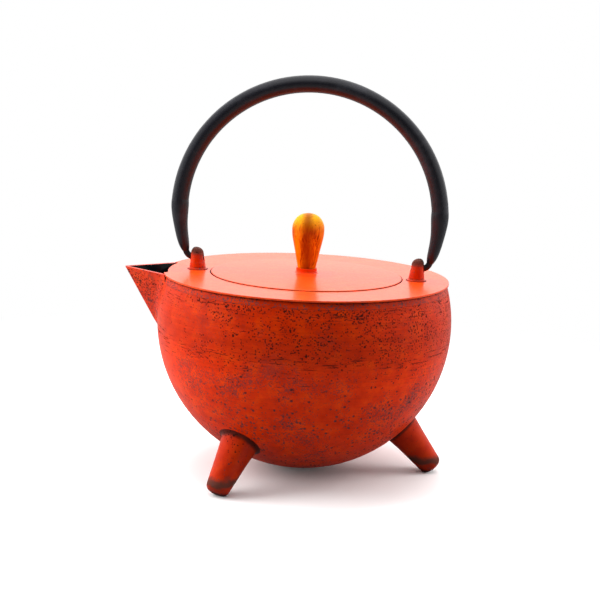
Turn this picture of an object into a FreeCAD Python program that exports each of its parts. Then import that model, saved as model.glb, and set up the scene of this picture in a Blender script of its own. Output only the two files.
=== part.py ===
import FreeCAD, Part
import math
import os

from FreeCAD import Vector

# A cast-iron teapot on three feet, with a hooked bail, a drop-in lid with a wooden knob,
# and a wire-mesh tea infuser.  Millimetres.  +Z is up, the spout points along -X, and the
# origin is on the table under the middle of the bowl.

# Bowl and flat shoulder
bowl_radius = 78.0          # outside of the spherical bowl
bowl_wall = 3.5
bowl_lift = 1.2             # room between the bowl and the table
shoulder_rise = 25.0        # from the bowl's centre up to the flat top
shoulder_overhang = 1.4     # how far the top stands proud of the bowl
shoulder_thickness = 4.5
shoulder_land = 24.3        # width of the flat ring around the lid
edge_height = 0.9           # crisp band around the top
edge_relief = 0.4           # groove under that band
enamel_thickness = 0.4

# Seats inside the mouth
lid_depth = 4.0             # the lid's edge, and the depth of its recess
lid_gap = 0.5               # the dark line around the lid
ledge_width = 2.3           # ring that the lid rests on
collar_wall = 3.2           # metal under the lid recess, outside it
collar_depth = 7.6          # from the flat top to the collar's underside
flange_gap = 0.4            # around the infuser's flange
flange_width = 3.8          # how much of the flange rests on iron
flange_drop = 0.8           # depth of the flange's own recess

# Spout
spout_reach = 22.1          # from the shoulder's edge to the tip
spout_drop = 0.6            # its rim lies this much under the flat top
spout_half_angle = 40.0     # outside flanks, in plan
spout_keel_lean = 30.2      # keel, from the vertical
spout_keel_radius = 2.0
spout_blend = 9.0           # fillet between the flanks and the bowl
nose_setback = 0.9          # flat cut across the tip
channel_half_angle = 39.0
channel_wall = 1.7          # behind the tip
channel_radius = 1.5
brow_width = 2.3            # how far the channel bites into the shoulder
brow_corner = 2.0

# Feet
foot_count = 3
foot_circle = 68.9          # radius of the circle on which the feet touch the table
foot_splay = 40.5           # axis, from the vertical
foot_tip_radius = 6.1
foot_tip_round = 3.3
foot_taper = 7.4            # half angle
foot_grind = 0.5            # taken off under each tip to make a flat

# Lugs for the bail
lug_gap = 2.8               # from the lid recess to the lug
lug_depth = 8.6             # along the bail's axis
lug_width = 9.6
lug_height = 11.6
lug_lean = 2.0              # its inner face leans outwards by this
lug_outer_lean = 0.8        # its outer face leans inwards by this
lug_draft = 0.6             # its two sides lean in by this
lug_corner = 3.2
lug_crown = 2.5
pivot_height = 6.35         # hook axis over the flat top
lug_bore_flare = 1.1

# Bail
bail_inset = 1.8            # its inner arc, outside the lug's outer face
bail_arc_height = 31.0      # arc's centre over the flat top
bail_thickness = 8.9        # in the plane of the arc
bail_width = 10.6
bail_arc_end = 5.0          # the arc stops this many degrees over its centre
hook_radius = 1.65
hook_gap = 0.5              # around the hook, in the lug's bore
hook_bend_radius = 4.3
hook_lean = 17.0            # the leg's lean where the hook starts
hook_start_gap = 2.2        # the hook's bend starts this far outside the lug
hook_tip_gap = 0.6          # the hook's end stops short of the lug's inner face
# Down each leg: shares of its drop, of its inward step, and of its loss of thickness and
# width from the arc to the hook, and the leg's lean there in degrees
leg_taper = (
    (0.14, 0.09, 0.11, 0.10, 4.0),
    (0.49, 0.31, 0.37, 0.29, 9.0),
    (0.81, 0.68, 0.59, 0.52, 14.0),
)

# Lid
lid_proud = 0.45            # its edge stands this far over the shoulder
lid_dome = 0.7
lid_edge_round = 0.4
skirt_gap = 2.1             # to the infuser's mesh
skirt_wall = 3.0
skirt_depth = 8.0
boss_radius = 5.5
boss_height = 2.6           # over the dome
boss_fillet = 1.2

# Knob and its fixing
knob_foot_radius = 4.8
knob_radius = 8.5
knob_height = 28.95
knob_waist = 20.2           # height of its widest place
# Up the knob's side: shares of its widest radius and of the height of that place
knob_side = ((0.73, 0.35), (0.9, 0.68))
# On its rounded top: share of the widest radius and of the height left above it
knob_shoulder = (0.78, 0.67)
insert_radius = 3.0
insert_length = 9.5
screw_radius = 1.95
screw_fit = 0.05            # around the screw, in the insert
lid_hole_gap = 0.25
head_radius = 4.0
head_height = 2.4
slot_width = 1.0
slot_depth = 1.1
washer_radius = 5.5
washer_thickness = 0.8

# Infuser
infuser_depth = 51.6        # from its flange to its underside
basket_gap = 0.9            # around the basket, in the mouth
sheet = 0.6                 # stainless sheet
mesh = 0.4                  # stainless wire mesh
band_depth = 8.0            # plain band under the flange
hoop_height = 4.4
hoop_lip = 3.0

# Places that follow from the sizes
bowl_z = bowl_lift + bowl_radius
top_z = bowl_z + shoulder_rise
seat_z = top_z - shoulder_thickness
ledge_z = top_z - lid_depth
flange_z = ledge_z - flange_drop
rim_z = top_z - spout_drop
pivot_z = top_z + pivot_height
shoulder_radius = math.sqrt(bowl_radius ** 2 - shoulder_rise ** 2) + shoulder_overhang
recess_radius = shoulder_radius - shoulder_land
lid_radius = recess_radius - lid_gap
flange_recess = recess_radius - ledge_width
flange_radius = flange_recess - flange_gap
mouth_radius = flange_recess - flange_width - flange_gap
basket_radius = mouth_radius - basket_gap
mesh_outer = basket_radius - sheet
mesh_inner = mesh_outer - mesh
lug_inner = recess_radius + lug_gap
lug_outer = lug_inner + lug_depth
spout_tip = shoulder_radius + spout_reach
lug_bore_radius = hook_radius + hook_gap
bail_radius = lug_outer + bail_inset + bail_thickness / 2
lid_z = top_z + lid_proud
knob_z = lid_z + lid_dome + boss_height

origin = Vector(0, 0, 0)
up = Vector(0, 0, 1)


def bowl_radius_at(z, radius=bowl_radius):
    """Radius of a sphere around the bowl's centre at a height."""
    return math.sqrt(radius ** 2 - (z - bowl_z) ** 2)


def turned(outline):
    """Solid turned about Z from (radius, height) points."""
    points = [Vector(r, 0, z) for r, z in outline]
    return Part.Face(Part.makePolygon(points + points[:1])).revolve(origin, up, 360)


def ring(inner, outer, low, high):
    """Plain ring about Z."""
    return turned([(inner, low), (outer, low), (outer, high), (inner, high)])


def ball(radius):
    """Sphere around the bowl's centre, its seam away from the spout."""
    return Part.makeSphere(radius, Vector(0, 0, bowl_z))


def slab(low, high, half=400.0):
    """Everything between two heights."""
    return Part.makeBox(2 * half, 2 * half, high - low, Vector(-half, -half, low))


def vee(apex, half_angle, radius):
    """Wedge that narrows towards -X and slopes in below; its edge is rounded."""
    lean = math.tan(math.radians(spout_keel_lean))
    spread = math.tan(math.radians(half_angle))
    depth = shoulder_rise + 0.4 * bowl_radius
    back = -bowl_radius / 3
    wires = []
    for z, tip in ((rim_z, -apex), (rim_z - depth, -apex + depth * lean)):
        half = (back - tip) * spread
        corners = [Vector(tip, 0, z), Vector(back, half, z), Vector(back, -half, z)]
        wires.append(Part.makePolygon(corners + corners[:1]))
    wedge = Part.makeLoft(wires, True, True)
    keel = [e for e in wedge.Edges if all(abs(v.Y) < 1e-6 for v in e.Vertexes) and e.Length > 1]
    return wedge.makeFillet(radius, keel)


def spout_channel():
    """The trough that the tea runs along, through the bowl's wall."""
    return vee(spout_tip - channel_wall, channel_half_angle, channel_radius)


def brow_cut():
    """Upright opening over the channel, with its inner corners rounded."""
    apex = spout_tip - channel_wall
    bite = shoulder_radius - brow_width
    back = bite * math.cos(math.radians(channel_half_angle))
    half = (apex - back) * math.tan(math.radians(channel_half_angle))
    low = seat_z - 1
    height = top_z + 1 - low
    corners = [Vector(-apex, 0, low), Vector(-back, half, low), Vector(-back, -half, low)]
    block = Part.Face(Part.makePolygon(corners + corners[:1])).extrude(Vector(0, 0, height))
    block = block.cut(Part.makeCylinder(bite, height, Vector(0, 0, low), up))
    corner = []
    for edge in block.Edges:
        place = edge.CenterOfMass
        if edge.BoundBox.ZLength > 1 and abs(math.hypot(place.x, place.y) - bite) < 1e-3:
            corner.append(edge)
    return block.makeFillet(brow_corner, corner)


def bowl():
    """Spherical iron bowl, open at the top and into the spout."""
    shell = ball(bowl_radius).cut(ball(bowl_radius - bowl_wall))
    return shell.common(slab(0, seat_z)).cut(spout_channel())


def enamel_lining():
    """Black enamel fired on the inside of the bowl."""
    inside = bowl_radius - bowl_wall
    skin = ball(inside).cut(ball(inside - enamel_thickness))
    return skin.common(slab(0, seat_z)).cut(spout_channel())


def shoulder_blank():
    """Flat top ring with its seats for the lid and the infuser."""
    edge_z = top_z - edge_height
    relief_z = edge_z - 1.5 * edge_relief
    outline = [
        (recess_radius, top_z),
        (shoulder_radius, top_z),
        (shoulder_radius, edge_z),
        (bowl_radius_at(edge_z) - edge_relief, edge_z),
        (bowl_radius_at(relief_z), relief_z),
        (bowl_radius_at(seat_z), seat_z),
        (recess_radius + collar_wall, seat_z),
        (recess_radius + collar_wall, top_z - collar_depth),
        (mouth_radius, top_z - collar_depth),
        (mouth_radius, flange_z),
        (flange_recess, flange_z),
        (flange_recess, ledge_z),
        (recess_radius, ledge_z),
    ]
    return turned(outline)


def shoulder():
    """The ring, open over the spout's channel."""
    return shoulder_blank().cut(brow_cut())


def spout():
    """Beak with flat flanks, blended into the bowl, open above."""
    beak = vee(spout_tip + nose_setback, spout_half_angle, spout_keel_radius)
    beak = beak.cut(Part.makeBox(50, 50, 300, Vector(-spout_tip - 50, -25, 0)))
    body = ball(bowl_radius).common(slab(0, rim_z)).fuse(beak)
    seam = []
    for edge in body.Edges:
        place = edge.valueAt((edge.FirstParameter + edge.LastParameter) / 2)
        on_bowl = abs(place.distanceToPoint(Vector(0, 0, bowl_z)) - bowl_radius) < 1e-3
        if on_bowl and place.x < -1 and place.z < rim_z - 0.5 and edge.Length < 2 * bowl_radius:
            seam.append(edge)
    body = body.makeFillet(spout_blend, seam)
    body = body.cut(ball(bowl_radius))
    body = body.cut(Part.makeCylinder(shoulder_radius, 60, Vector(0, 0, seat_z), up))
    pieces = body.cut(spout_channel()).Solids
    return max(pieces, key=lambda piece: piece.Volume)


def foot(index):
    """Tapered foot, splayed out from the bowl, ground flat where it stands."""
    splay = math.radians(foot_splay)
    core = foot_tip_radius - foot_tip_round
    length = bowl_radius
    widen = math.radians(foot_taper)
    lift = foot_tip_round * (1 - math.sin(widen))
    flank = core + foot_tip_round * math.cos(widen)
    middle = math.radians(-45)
    arc_point = Vector(core + foot_tip_round * math.cos(middle), 0,
                       foot_tip_round + foot_tip_round * math.sin(middle))
    edges = [
        Part.LineSegment(origin, Vector(core, 0, 0)),
        Part.Arc(Vector(core, 0, 0), arc_point, Vector(flank, 0, lift)),
        Part.LineSegment(Vector(flank, 0, lift), Vector(flank + length * math.tan(widen), 0, length)),
        Part.LineSegment(Vector(flank + length * math.tan(widen), 0, length), Vector(0, 0, length)),
        Part.LineSegment(Vector(0, 0, length), origin),
    ]
    profile = Part.Wire([edge.toShape() for edge in edges])
    leg = Part.Face(profile).revolve(origin, up, 360)
    sink = foot_tip_round * (1 - math.cos(splay)) + core * math.sin(splay) - foot_grind
    reach = foot_tip_round * math.sin(splay) + core * math.cos(splay)
    leg.rotate(origin, Vector(0, 1, 0), -foot_splay)
    leg.translate(Vector(foot_circle + reach, 0, sink))
    leg.rotate(origin, up, index * 360 / foot_count)
    return leg.cut(ball(bowl_radius)).common(slab(0, bowl_z))


def rounded_rectangle(x_low, x_high, half_width, corner, z):
    """Closed outline at a height."""
    length = x_high - x_low
    plate = Part.makeBox(length, 2 * half_width, 1, Vector(x_low, -half_width, z))
    upright = [e for e in plate.Edges if e.BoundBox.ZLength > 0.5]
    plate = plate.makeFillet(corner, upright)
    floor = [f for f in plate.Faces if abs(f.CenterOfMass.z - z) < 1e-6]
    return floor[0].OuterWire


def lug(side):
    """Lug for one hook; side is -1 at the spout and 1 opposite it."""
    foot_wire = rounded_rectangle(lug_inner, lug_outer, lug_width / 2, lug_corner, top_z)
    crown_wire = rounded_rectangle(lug_inner + lug_lean, lug_outer - lug_outer_lean,
                                   lug_width / 2 - lug_draft, lug_crown, top_z + lug_height)
    post = Part.makeLoft([foot_wire, crown_wire], True, True)
    crown = [e for e in post.Edges if e.BoundBox.ZMin > top_z + lug_height - 0.01]
    post = post.makeFillet(lug_crown, crown)
    bore = Part.makeCylinder(lug_bore_radius, lug_depth + 2, Vector(lug_inner - 1, 0, pivot_z), Vector(1, 0, 0))
    face_x = lug_outer - lug_outer_lean * pivot_height / lug_height
    flare = Part.makeCone(lug_bore_radius, lug_bore_radius + 2 * lug_bore_flare, 2 * lug_bore_flare,
                          Vector(face_x - lug_bore_flare, 0, pivot_z), Vector(1, 0, 0))
    post = post.cut(bore).cut(flare)
    if side < 0:
        post.rotate(origin, up, 180)
    return post


def bail_section(x, z, thickness, width, lean):
    """Oval section of the bail at a point; its normal runs down the leg."""
    oval = Part.Circle(origin, up, thickness / 2)
    if width > thickness:
        oval = Part.Ellipse(origin, width / 2, thickness / 2)
    across = Vector(math.cos(lean), 0, -math.sin(lean))
    along = Vector(0, 1, 0).cross(across)
    place = FreeCAD.Matrix(0, across.x, along.x, x, 1, 0, 0, 0, 0, across.z, along.z, z, 0, 0, 0, 1)
    wire = Part.Wire([oval.toShape()])
    wire.transformShape(place)
    return wire


def arch_end():
    """Section where the arc hands over to the +X leg."""
    end = math.radians(bail_arc_end)
    x = bail_radius * math.cos(end)
    z = top_z + bail_arc_height + bail_radius * math.sin(end)
    return bail_section(x, z, bail_thickness, bail_width, -end)


def bail_leg():
    """Tapering leg and the hook that turns into the lug, on the +X side."""
    arc_z = top_z + bail_arc_height
    lean = math.radians(hook_lean)
    hook_x = lug_outer + hook_start_gap
    hook_z = pivot_z + hook_bend_radius * (1 - math.sin(lean))
    wire = 2 * hook_radius
    sections = [arch_end()]
    for down, inward, thinner, narrower, tilt in leg_taper:
        sections.append(bail_section(
            bail_radius - inward * (bail_radius - hook_x), arc_z - down * (arc_z - hook_z),
            bail_thickness - thinner * (bail_thickness - wire),
            bail_width - narrower * (bail_width - wire), math.radians(tilt)))
    sections.append(bail_section(hook_x, hook_z, wire, wire, lean))
    leg = Part.makeLoft(sections, True, False)
    centre = Vector(hook_x - hook_bend_radius * math.cos(lean), 0, pivot_z + hook_bend_radius)
    bend = Part.Face(sections[-1]).revolve(centre, Vector(0, 1, 0), 90 - hook_lean)
    tip_x = lug_inner + lug_lean * pivot_height / lug_height + hook_tip_gap
    mouth = Part.Face(bail_section(centre.x, pivot_z, wire, wire, math.radians(90)))
    pin = mouth.extrude(Vector(tip_x - centre.x, 0, 0))
    tip = [e for e in pin.Edges if e.BoundBox.XMax < tip_x + 0.01]
    pin = pin.makeFillet(0.7 * hook_radius, tip)
    return leg.fuse([bend, pin])


def bail_handle():
    """Round-backed arc with a leg at each end."""
    arc_centre = Vector(0, 0, top_z + bail_arc_height)
    arch = Part.Face(arch_end()).revolve(arc_centre, Vector(0, -1, 0), 180 - 2 * bail_arc_end)
    leg = bail_leg()
    other = leg.copy()
    other.rotate(origin, up, 180)
    return arch.fuse([leg, other])


def lid():
    """Drop-in lid: shallow dome, boss for the knob, skirt inside the infuser."""
    dome_z = lid_z + lid_dome
    half = lid_radius / 2
    skirt_outer = mesh_inner - skirt_gap
    curve = Part.Arc(Vector(lid_radius, 0, lid_z), Vector(half, 0, lid_z + 0.75 * lid_dome), Vector(0, 0, dome_z))
    sides = [Vector(0, 0, dome_z), Vector(0, 0, ledge_z), Vector(lid_radius, 0, ledge_z),
             Vector(lid_radius, 0, lid_z)]
    profile = Part.Wire([curve.toShape()] + Part.makePolygon(sides).Edges)
    disc = Part.Face(profile).revolve(origin, up, 360)
    rim = [e for e in disc.Edges if abs(e.BoundBox.ZMin - lid_z) < 1e-6 and e.BoundBox.ZLength < 1e-6]
    disc = disc.makeFillet(lid_edge_round, rim)
    boss = Part.makeCylinder(boss_radius, knob_z - ledge_z, Vector(0, 0, ledge_z), up)
    disc = disc.fuse(boss)
    foot_edges = [e for e in disc.Edges if e.BoundBox.ZLength < 1e-6 and e.Length < 6.5 * boss_radius
                  and lid_z + 0.5 * lid_dome < e.BoundBox.ZMin < knob_z - 0.5]
    disc = disc.makeFillet(boss_fillet, foot_edges)
    disc = disc.fuse(ring(skirt_outer - skirt_wall, skirt_outer, ledge_z - skirt_depth, ledge_z))
    hole = Part.makeCylinder(screw_radius + lid_hole_gap, 40, Vector(0, 0, ledge_z - 20), up)
    return disc.removeSplitter().cut(hole)


def knob():
    """Turned wooden knob, widest near its top."""
    outline = [(knob_foot_radius, 0)]
    for wide, high in knob_side:
        outline.append((wide * knob_radius, high * knob_waist))
    outline.append((knob_radius, knob_waist))
    side = Part.BSplineCurve()
    side.interpolate([Vector(r, 0, knob_z + z) for r, z in outline],
                     InitialTangent=Vector(0.2, 0, 1), FinalTangent=Vector(0, 0, 1))
    rise = knob_height - knob_waist
    wide, high = knob_shoulder
    cap = Part.BSplineCurve()
    cap.interpolate([Vector(knob_radius, 0, knob_z + knob_waist),
                     Vector(wide * knob_radius, 0, knob_z + knob_waist + high * rise),
                     Vector(0, 0, knob_z + knob_height)],
                    InitialTangent=Vector(0, 0, 1), FinalTangent=Vector(-1, 0, 0))
    foot_z = Vector(0, 0, knob_z)
    base = Part.makePolygon([Vector(0, 0, knob_z + knob_height), foot_z, Vector(knob_foot_radius, 0, knob_z)])
    body = Part.Face(Part.Wire([side.toShape(), cap.toShape()] + base.Edges)).revolve(origin, up, 360)
    return body.cut(Part.makeCylinder(insert_radius, insert_length, foot_z, up))


def knob_insert():
    """Brass bush with the screw's thread, pressed into the knob."""
    return ring(screw_radius + screw_fit, insert_radius, knob_z, knob_z + insert_length)


def knob_screw():
    """Pan-head screw from under the lid."""
    under = ledge_z - washer_thickness
    shank_top = knob_z + insert_length - 1.5
    outline = [(0, under - head_height), (0.7 * head_radius, under - head_height),
               (head_radius, under - 0.55 * head_height), (head_radius, under),
               (screw_radius, under), (screw_radius, shank_top), (0, shank_top)]
    slot = Part.makeBox(3 * head_radius, slot_width, slot_depth,
                        Vector(-1.5 * head_radius, -slot_width / 2, under - head_height))
    return turned(outline).cut(slot)


def knob_washer():
    """Flat washer under the screw's head."""
    return ring(screw_radius + lid_hole_gap, washer_radius, ledge_z - washer_thickness, ledge_z)


def infuser_rim():
    """Stainless flange that hangs the infuser in the mouth, with its plain band."""
    outline = [(mesh_outer, flange_z + sheet), (flange_radius, flange_z + sheet),
               (flange_radius, flange_z), (basket_radius, flange_z),
               (basket_radius, flange_z - band_depth), (mesh_outer, flange_z - band_depth)]
    return turned(outline)


def infuser_mesh_wall():
    """Wire-mesh side, modelled as a plain tube."""
    low = flange_z - infuser_depth + sheet
    return ring(mesh_inner, mesh_outer, low, flange_z)


def infuser_mesh_base():
    """Wire-mesh bottom, modelled as a plain disc."""
    low = flange_z - infuser_depth + sheet
    return Part.makeCylinder(mesh_inner, mesh, Vector(0, 0, low), up)


def infuser_base_hoop():
    """Hoop that holds the mesh bottom to the mesh side."""
    low = flange_z - infuser_depth
    outline = [(basket_radius - hoop_lip, low), (basket_radius, low), (basket_radius, low + hoop_height),
               (mesh_outer, low + hoop_height), (mesh_outer, low + sheet),
               (basket_radius - hoop_lip, low + sheet)]
    return turned(outline)


def main():
    parts = {
        "bowl": bowl(),
        "enamel_lining": enamel_lining(),
        "shoulder": shoulder(),
        "spout": spout(),
        "lug_spout_side": lug(-1),
        "lug_rear_side": lug(1),
        "bail_handle": bail_handle(),
        "lid": lid(),
        "knob": knob(),
        "knob_insert": knob_insert(),
        "knob_screw": knob_screw(),
        "knob_washer": knob_washer(),
        "infuser_rim": infuser_rim(),
        "infuser_mesh_wall": infuser_mesh_wall(),
        "infuser_mesh_base": infuser_mesh_base(),
        "infuser_base_hoop": infuser_base_hoop(),
    }
    for index, place in enumerate(("rear", "front_right", "front_left")):
        parts["foot_" + place] = foot(index)
    os.makedirs("parts", exist_ok=True)
    for name, shape in parts.items():
        shape.exportStep("parts/" + name + ".step")
        box = shape.optimalBoundingBox(False, False)
        print("%-18s solids %d  valid %s  %.2f cm3  x %.2f..%.2f  y %.2f..%.2f  z %.2f..%.2f" % (
            name, len(shape.Solids), shape.isValid(), shape.Volume / 1000,
            box.XMin, box.XMax, box.YMin, box.YMax, box.ZMin, box.ZMax))


main()
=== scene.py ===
import math

import bmesh
import bpy
from mathutils import Matrix, Vector

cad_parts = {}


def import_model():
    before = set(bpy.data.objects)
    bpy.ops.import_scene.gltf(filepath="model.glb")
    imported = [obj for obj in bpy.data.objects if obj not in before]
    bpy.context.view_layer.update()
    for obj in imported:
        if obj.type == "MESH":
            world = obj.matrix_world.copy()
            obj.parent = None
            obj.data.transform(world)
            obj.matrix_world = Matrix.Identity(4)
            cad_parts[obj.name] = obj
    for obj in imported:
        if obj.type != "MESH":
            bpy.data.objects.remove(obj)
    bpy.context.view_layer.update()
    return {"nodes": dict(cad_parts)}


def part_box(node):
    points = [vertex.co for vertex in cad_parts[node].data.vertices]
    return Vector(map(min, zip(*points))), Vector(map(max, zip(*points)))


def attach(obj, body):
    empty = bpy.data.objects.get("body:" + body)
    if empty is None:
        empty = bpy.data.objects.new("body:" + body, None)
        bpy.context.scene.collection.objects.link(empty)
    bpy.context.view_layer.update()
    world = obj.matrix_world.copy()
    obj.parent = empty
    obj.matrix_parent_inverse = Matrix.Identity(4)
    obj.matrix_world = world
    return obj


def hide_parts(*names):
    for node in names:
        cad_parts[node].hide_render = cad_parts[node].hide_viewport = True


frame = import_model()
nodes = frame["nodes"]
mm = 0.001
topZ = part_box("shoulder")[1][2]          # the flat top of the pot
recessRadius = 0.05099                   # the lid's recess in it
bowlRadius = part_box("bowl")[1][0]
bowlCentre = Vector((0, 0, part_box("bowl")[0][2] + bowlRadius))
print("frame loaded:", len(nodes), "nodes")


def linear(hexColour):
    # sRGB hex to linear RGBA
    parts = [int(hexColour[i:i + 2], 16) / 255 for i in (0, 2, 4)]
    return tuple(c / 12.92 if c <= 0.04045 else ((c + 0.055) / 1.055) ** 2.4 for c in parts) + (1.0,)


def add(tree, kind, settings=None, **inputs):
    # adds a node; an input is a name or i and its number, and its value is a number, a colour or a socket
    # to link
    node = tree.nodes.new(kind)
    for key, value in (settings or {}).items():
        if key == "stops":
            ramp = node.color_ramp.elements
            for place, colour in value[2:]:
                ramp.new(place)
            for stop, (place, colour) in zip(ramp, value):
                stop.position = place
                stop.color = linear(colour) if isinstance(colour, str) else (colour, colour, colour, 1)
        else:
            setattr(node, key, value)
    for key, value in inputs.items():
        socket = node.inputs[int(key[1:])] if key[1:].isdigit() else node.inputs[key.replace("_", " ")]
        if isinstance(value, bpy.types.NodeSocket):
            tree.links.new(value, socket)
        else:
            socket.default_value = value
    return node


def newTree(name):
    material = bpy.data.materials.new(name)
    material.use_nodes = True
    material.node_tree.nodes.clear()
    return material, material.node_tree


# Orange-red paint over pitted cast iron, rubbed back so the pits stay near-black brown; a satin coat, so it
# greys towards the edges of the form.  Black vitreous enamel takes over inside the mouth and the spout.
ironPaint = {
    "red": "E63400", "deepRed": "CC2800", "brightRed": "FA4A00", "plate": "FF7028",
    "pit": "1A0E0B", "softPit": "5A3A3C", "smudge": "50261C", "worn": "4A342C", "enamel": "0B0C10",
    "finePit": 0.9, "coarsePit": 2.1,          # mm between pits
    "streakLength": 11.0, "streakHeight": 0.75,  # mm
    "paintRough": 0.36, "pitRough": 0.75, "enamelRough": 0.13,
    "under": "661600",                         # dark colour for painted shadow under the rim, and for faint wipe lines
    "pitShow": 0.9,                            # how fully a pit hides the paint
    "flatTopFrom": 0.8,                        # mm below the flat top where its coat and painted reflection start
    "troughTip": 95.69, "troughHeight": 103.6,  # mm, where the enamelled trough ends and how high
    "troughSlope": 0.582, "troughCosine": 0.8098,
    "spoutRim": 102.4,                         # mm, height of the spout's lip
}

# For each iron piece: pit density up its height from low to high, streaks, worn top, where enamel begins, and how much
# painted shade it gets (in corners, under the rim, over the whole piece)
ironLooks = {
    "bowl": {"low": 1.2, "high": 99.7, "pits": [(0, 0.32), (0.2, 0.58), (0.45, 0.64), (0.62, 0.44),
    (0.72, 0.60), (0.93, 0.72), (1, 0.85)],
             "streaks": 1.0, "relief": 1.0, "quietSide": True, "grimeAndShade": 1.0, "enamelHeight": 0,
             "wear": 0.0, "shine": 0.08, "sponge": 1.0,
             "under": 0.66, "underFrom": 0.62, "underTo": 0.8},
    "shoulder": {"low": 99.7, "high": 104.2, "pits": [(0, 0.95), (0.76, 0.9), (0.82, 0.14), (1, 0.12)],
                 "streaks": 0.0, "relief": 0.45, "grimeAndShade": 0.5, "enamelHeight": topZ / mm - 0.35,
                 "wear": 1.0, "shine": 0.1, "polish": 0.26,
                 "under": 0.6, "underFrom": 0.84, "underTo": 0.78, "flatTop": True},
    "lid": {"low": 99.7, "high": 104.2, "pits": [(0, 0.2), (0.9, 0.1), (0.95, 0.1), (1, 0.11)],
            "streaks": 0.0, "relief": 0.3, "grimeAndShade": 0.6, "enamelHeight": topZ / mm + 0.25, "wear": 0.6,
            "shine": 0.1, "polish": 0.26, "flatTop": True},
    "spout": {"low": 67, "high": 103.6, "pits": [(0, 0.7), (0.5, 0.85), (0.9, 0.8), (1, 0.5)],
              "streaks": 0.4, "relief": 0.8, "grimeAndShade": 0.0, "enamelHeight": 0, "wear": 1.0, "shine": 0.12,
              "muddy": True, "shade": 0.8},
    "lug": {"low": 104.2, "high": 116.2, "pits": [(0, 0.5), (0.3, 0.3), (0.75, 0.35), (1, 0.6)],
            "streaks": 0.0, "relief": 0.7, "grimeAndShade": 1.6, "enamelHeight": 0, "wear": 0.8, "shine": 0.15,
            "wornTop": True, "shade": 0.64},
    "foot": {"low": 0, "high": 31, "pits": [(0, 0.5), (0.4, 0.32), (0.8, 0.35), (1, 0.5)],
             "streaks": 0.3, "relief": 0.7, "grimeAndShade": 1.8, "enamelHeight": 0, "wear": 1.0, "shine": 0.1,
             "tipRing": True, "shade": 0.64},
}


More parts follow.
